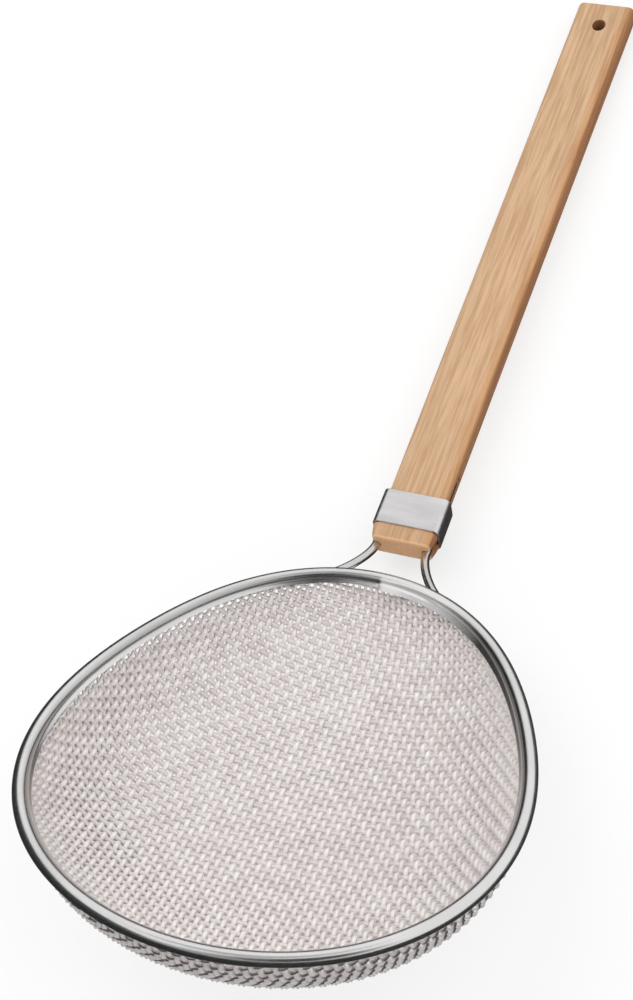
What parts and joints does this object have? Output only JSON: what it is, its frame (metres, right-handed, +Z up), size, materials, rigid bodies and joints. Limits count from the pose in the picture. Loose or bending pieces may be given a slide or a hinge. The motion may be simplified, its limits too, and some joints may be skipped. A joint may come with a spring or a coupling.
{
  "type": "mesh skimmer",
  "caption": "Hand skimmer with a deep egg-shaped woven wire bowl in a rolled steel rim, on wire tangs clamped by a sleeve to a flat wooden handle with a hanging hole.",
  "frame": {"origin": "on the resting plane, under the middle of the whole tool's outline", "axes": "+Y from the bowl along the handle to its tip, +Z up off the plane that the bowl and the handle's tip lie on, X across the bowl"},
  "size_m": [0.2076, 0.603, 0.1101],
  "materials": {
    "mesh_steel": "bright drawn wire",
    "rim_steel": "polished",
    "hoop_steel": "plain drawn wire",
    "tang_steel": "bright drawn wire",
    "ferrule_steel": "satin",
    "handle_wood": "pale sanded, unvarnished"
  },
  "bodies": {
    "root": {"mesh_bowl": "mesh_steel", "rim_binding": "rim_steel", "rim_hoop": "hoop_steel", "left_tang": "tang_steel", "right_tang": "tang_steel", "ferrule": "ferrule_steel", "handle": "handle_wood"}
  },
  "joints": []
}
